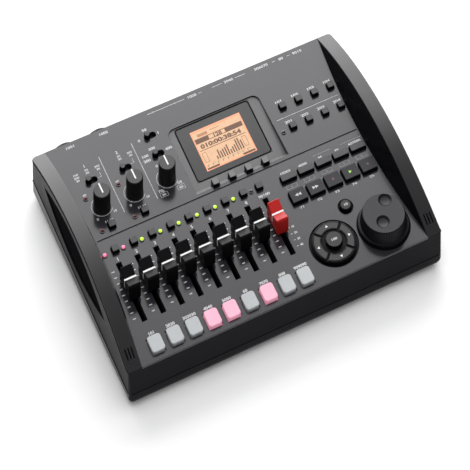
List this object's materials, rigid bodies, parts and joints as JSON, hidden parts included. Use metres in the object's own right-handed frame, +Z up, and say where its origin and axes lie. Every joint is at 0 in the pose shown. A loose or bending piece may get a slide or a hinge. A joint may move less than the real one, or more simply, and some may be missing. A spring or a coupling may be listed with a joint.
{
  "type": "multitrack recorder",
  "caption": "Tabletop multitrack recorder: sloping grey deck with channel faders, drum pads, knobs, transport keys, jog dial and amber display between two arched side rails.",
  "frame": {"origin": "centre of the footprint, on the surface that the rubber feet stand on", "axes": "+X to the right, +Y to the rear sockets, +Z up"},
  "size_m": [0.257, 0.19, 0.051],
  "materials": {
    "case_black": "fine-textured black",
    "deck_grey": "satin dark grey",
    "rail_grey": "semi-gloss dark grey",
    "insert_gloss": "high gloss black",
    "window_clear": "clear window",
    "display_amber": "lit amber display",
    "board_green": "circuit board",
    "control_metal": "plated metal",
    "jack_black": "moulded black",
    "screw_steel": "black zinc",
    "foot_rubber": "soft black",
    "cap_black": "satin black",
    "cap_red": "satin red",
    "knob_black": "satin black",
    "dial_black": "satin black",
    "pad_clear": "milky silicone",
    "pad_lit": "milky silicone, lit pink",
    "key_black": "satin black",
    "lamp_clear": "clear light pipe",
    "battery_wrap": "printed wrap",
    "mic_metal": "metal can"
  },
  "bodies": {
    "root": {"bottom_case": "case_black", "upper_case": "case_black", "rail_bands": "rail_grey", "side_inserts": "insert_gloss", "top_panel": "deck_grey", "display_window": "window_clear", "lcd_module": "display_amber", "main_board": "board_green", "fader_tracks": "control_metal", "rotary_controls": "control_metal", "status_lights": "lamp_clear", "mic_capsules": "mic_metal", "input_jacks": "jack_black", "line_jacks": "jack_black", "rear_socket": "control_metal", "batteries": "battery_wrap", "rubber_feet": "foot_rubber", "case_screws": "screw_steel"},
    "battery_cover_body": {"battery_cover": "case_black"},
    "cursor_keys_body": {"cursor_keys": "key_black"},
    "drum_pad_1_body": {"drum_pad_1": "pad_clear"},
    "drum_pad_2_body": {"drum_pad_2": "pad_clear"},
    "drum_pad_3_body": {"drum_pad_3": "pad_clear"},
    "drum_pad_4_body": {"drum_pad_4": "pad_lit"},
    "drum_pad_5_body": {"drum_pad_5": "pad_lit"},
    "drum_pad_6_body": {"drum_pad_6": "pad_clear"},
    "drum_pad_7_body": {"drum_pad_7": "pad_lit"},
    "drum_pad_8_body": {"drum_pad_8": "pad_clear"},
    "drum_pad_9_body": {"drum_pad_9": "pad_clear"},
    "enter_button_body": {"enter_button": "key_black"},
    "exit_button_body": {"exit_button": "key_black"},
    "fader_cap_1_body": {"fader_cap_1": "cap_black"},
    "fader_cap_2_body": {"fader_cap_2": "cap_black"},
    "fader_cap_3_body": {"fader_cap_3": "cap_black"},
    "fader_cap_4_body": {"fader_cap_4": "cap_black"},
    "fader_cap_5_body": {"fader_cap_5": "cap_black"},
    "fader_cap_6_body": {"fader_cap_6": "cap_black"},
    "fader_cap_7_body": {"fader_cap_7": "cap_black"},
    "fader_cap_8_body": {"fader_cap_8": "cap_black"},
    "forward_key_body": {"forward_key": "key_black"},
    "function_keys_body": {"function_keys": "key_black"},
    "input_keys_body": {"input_keys": "key_black"},
    "input_knob_1_body": {"input_knob_1": "knob_black"},
    "input_knob_2_body": {"input_knob_2": "knob_black"},
    "input_knob_3_body": {"input_knob_3": "knob_black"},
    "jog_dial_body": {"jog_dial": "dial_black"},
    "master_fader_cap_body": {"master_fader_cap": "cap_red"},
    "phones_volume_dial_body": {"phones_volume_dial": "key_black"},
    "play_key_body": {"play_key": "key_black"},
    "power_switch_body": {"power_switch": "key_black"},
    "record_key_body": {"record_key": "key_black"},
    "rewind_key_body": {"rewind_key": "key_black"},
    "slide_switch_1_body": {"slide_switch_1": "key_black"},
    "slide_switch_2_body": {"slide_switch_2": "key_black"},
    "slide_switch_3_body": {"slide_switch_3": "key_black"},
    "slide_switch_4_body": {"slide_switch_4": "key_black"},
    "soft_keys_body": {"soft_keys": "key_black"},
    "stop_key_body": {"stop_key": "key_black"},
    "track_keys_body": {"track_keys": "key_black"},
    "upper_transport_keys_body": {"upper_transport_keys": "key_black"}
  },
  "joints": [
    {"name": "fader_1_slide", "type": "slide", "parent": "root", "child": "fader_cap_1_body", "axis": [0, 0.9996, 0.0266], "range_m": [-0.0241, 0.0199]},
    {"name": "drum_pad_1_press", "type": "slide", "parent": "root", "child": "drum_pad_1_body", "axis": [0, 0.0266, -0.9996], "range_m": [0, 0.0008], "stiffness_N_per_m": 600},
    {"name": "fader_2_slide", "type": "slide", "parent": "root", "child": "fader_cap_2_body", "axis": [0, 0.9996, 0.0266], "range_m": [-0.0241, 0.0199]},
    {"name": "drum_pad_2_press", "type": "slide", "parent": "root", "child": "drum_pad_2_body", "axis": [0, 0.0266, -0.9996], "range_m": [0, 0.0008], "stiffness_N_per_m": 600},
    {"name": "fader_3_slide", "type": "slide", "parent": "root", "child": "fader_cap_3_body", "axis": [0, 0.9996, 0.0266], "range_m": [-0.0241, 0.0199]},
    {"name": "drum_pad_3_press", "type": "slide", "parent": "root", "child": "drum_pad_3_body", "axis": [0, 0.0266, -0.9996], "range_m": [0, 0.0008], "stiffness_N_per_m": 600},
    {"name": "fader_4_slide", "type": "slide", "parent": "root", "child": "fader_cap_4_body", "axis": [0, 0.9996, 0.0266], "range_m": [-0.0241, 0.0199]},
    {"name": "drum_pad_4_press", "type": "slide", "parent": "root", "child": "drum_pad_4_body", "axis": [0, 0.0266, -0.9996], "range_m": [0, 0.0008], "stiffness_N_per_m": 600},
    {"name": "fader_5_slide", "type": "slide", "parent": "root", "child": "fader_cap_5_body", "axis": [0, 0.9996, 0.0266], "range_m": [-0.0241, 0.0199]},
    {"name": "drum_pad_5_press", "type": "slide", "parent": "root", "child": "drum_pad_5_body", "axis": [0, 0.0266, -0.9996], "range_m": [0, 0.0008], "stiffness_N_per_m": 600},
    {"name": "fader_6_slide", "type": "slide", "parent": "root", "child": "fader_cap_6_body", "axis": [0, 0.9996, 0.0266], "range_m": [-0.0241, 0.0199]},
    {"name": "drum_pad_6_press", "type": "slide", "parent": "root", "child": "drum_pad_6_body", "axis": [0, 0.0266, -0.9996], "range_m": [0, 0.0008], "stiffness_N_per_m": 600},
    {"name": "fader_7_slide", "type": "slide", "parent": "root", "child": "fader_cap_7_body", "axis": [0, 0.9996, 0.0266], "range_m": [-0.0241, 0.0199]},
    {"name": "drum_pad_7_press", "type": "slide", "parent": "root", "child": "drum_pad_7_body", "axis": [0, 0.0266, -0.9996], "range_m": [0, 0.0008], "stiffness_N_per_m": 600},
    {"name": "fader_8_slide", "type": "slide", "parent": "root", "child": "fader_cap_8_body", "axis": [0, 0.9996, 0.0266], "range_m": [-0.0241, 0.0199]},
    {"name": "drum_pad_8_press", "type": "slide", "parent": "root", "child": "drum_pad_8_body", "axis": [0, 0.0266, -0.9996], "range_m": [0, 0.0008], "stiffness_N_per_m": 600},
    {"name": "master_fader_slide", "type": "slide", "parent": "root", "child": "master_fader_cap_body", "axis": [0, 0.9996, 0.0266], "range_m": [-0.0241, 0.0199]},
    {"name": "drum_pad_9_press", "type": "slide", "parent": "root", "child": "drum_pad_9_body", "axis": [0, 0.0266, -0.9996], "range_m": [0, 0.0008], "stiffness_N_per_m": 600},
    {"name": "input_knob_1_turn", "type": "hinge", "parent": "root", "child": "input_knob_1_body", "pos_m": [-0.0948, 0.03379, 0.03313], "axis": [0, -0.0266, 0.9996], "range_deg": [-150, 150]},
    {"name": "input_knob_2_turn", "type": "hinge", "parent": "root", "child": "input_knob_2_body", "pos_m": [-0.0677, 0.03379, 0.03313], "axis": [0, -0.0266, 0.9996], "range_deg": [-150, 150]},
    {"name": "input_knob_3_turn", "type": "hinge", "parent": "root", "child": "input_knob_3_body", "pos_m": [-0.0406, 0.03379, 0.03313], "axis": [0, -0.0266, 0.9996], "range_deg": [-150, 150]},
    {"name": "slide_switch_1_slide", "type": "slide", "parent": "root", "child": "slide_switch_1_body", "axis": [1, 0, 0], "range_m": [0, 0.0048]},
    {"name": "slide_switch_2_slide", "type": "slide", "parent": "root", "child": "slide_switch_2_body", "axis": [1, 0, 0], "range_m": [0, 0.0048]},
    {"name": "slide_switch_3_slide", "type": "slide", "parent": "root", "child": "slide_switch_3_body", "axis": [1, 0, 0], "range_m": [0, 0.0048]},
    {"name": "slide_switch_4_slide", "type": "slide", "parent": "root", "child": "slide_switch_4_body", "axis": [1, 0, 0], "range_m": [0, 0.0048]},
    {"name": "track_keys_press", "type": "slide", "parent": "root", "child": "track_keys_body", "axis": [0, 0.0266, -0.9996], "range_m": [0, 0.0008], "stiffness_N_per_m": 600},
    {"name": "function_keys_press", "type": "slide", "parent": "root", "child": "function_keys_body", "axis": [0, 0.0266, -0.9996], "range_m": [0, 0.0008], "stiffness_N_per_m": 600},
    {"name": "soft_keys_press", "type": "slide", "parent": "root", "child": "soft_keys_body", "axis": [0, 0.0266, -0.9996], "range_m": [0, 0.0008], "stiffness_N_per_m": 600},
    {"name": "input_keys_press", "type": "slide", "parent": "root", "child": "input_keys_body", "axis": [0, 0.0266, -0.9996], "range_m": [0, 0.0008], "stiffness_N_per_m": 600},
    {"name": "upper_transport_keys_press", "type": "slide", "parent": "root", "child": "upper_transport_keys_body", "axis": [0, 0.0266, -0.9996], "range_m": [0, 0.0008], "stiffness_N_per_m": 600},
    {"name": "rewind_key_press", "type": "slide", "parent": "root", "child": "rewind_key_body", "axis": [0, 0.0266, -0.9996], "range_m": [0, 0.0008], "stiffness_N_per_m": 600},
    {"name": "forward_key_press", "type": "slide", "parent": "root", "child": "forward_key_body", "axis": [0, 0.0266, -0.9996], "range_m": [0, 0.0008], "stiffness_N_per_m": 600},
    {"name": "stop_key_press", "type": "slide", "parent": "root", "child": "stop_key_body", "axis": [0, 0.0266, -0.9996], "range_m": [0, 0.0008], "stiffness_N_per_m": 600},
    {"name": "play_key_press", "type": "slide", "parent": "root", "child": "play_key_body", "axis": [0, 0.0266, -0.9996], "range_m": [0, 0.0008], "stiffness_N_per_m": 600},
    {"name": "record_key_press", "type": "slide", "parent": "root", "child": "record_key_body", "axis": [0, 0.0266, -0.9996], "range_m": [0, 0.0008], "stiffness_N_per_m": 600},
    {"name": "cursor_keys_press", "type": "slide", "parent": "root", "child": "cursor_keys_body", "axis": [0, 0.0266, -0.9996], "range_m": [0, 0.0008], "stiffness_N_per_m": 600},
    {"name": "enter_button_press", "type": "slide", "parent": "root", "child": "enter_button_body", "axis": [0, 0.0266, -0.9996], "range_m": [0, 0.0008], "stiffness_N_per_m": 600},
    {"name": "exit_button_press", "type": "slide", "parent": "root", "child": "exit_button_body", "axis": [0, 0.0266, -0.9996], "range_m": [0, 0.0008], "stiffness_N_per_m": 600},
    {"name": "jog_dial_turn", "type": "hinge", "parent": "root", "child": "jog_dial_body", "pos_m": [0.0916, -0.07028, 0.03036], "axis": [0, -0.0266, 0.9996], "continuous": true},
    {"name": "power_switch_slide", "type": "slide", "parent": "root", "child": "power_switch_body", "axis": [1, 0, 0], "range_m": [-0.0026, 0.0026]},
    {"name": "phones_volume_turn", "type": "hinge", "parent": "root", "child": "phones_volume_dial_body", "pos_m": [0.042, 0.0867, 0.023], "axis": [0, 0, 1], "range_deg": [-140, 140]},
    {"name": "battery_cover_lift", "type": "slide", "parent": "root", "child": "battery_cover_body", "axis": [0, 0, -1], "range_m": [0, 0.012]}
  ]
}
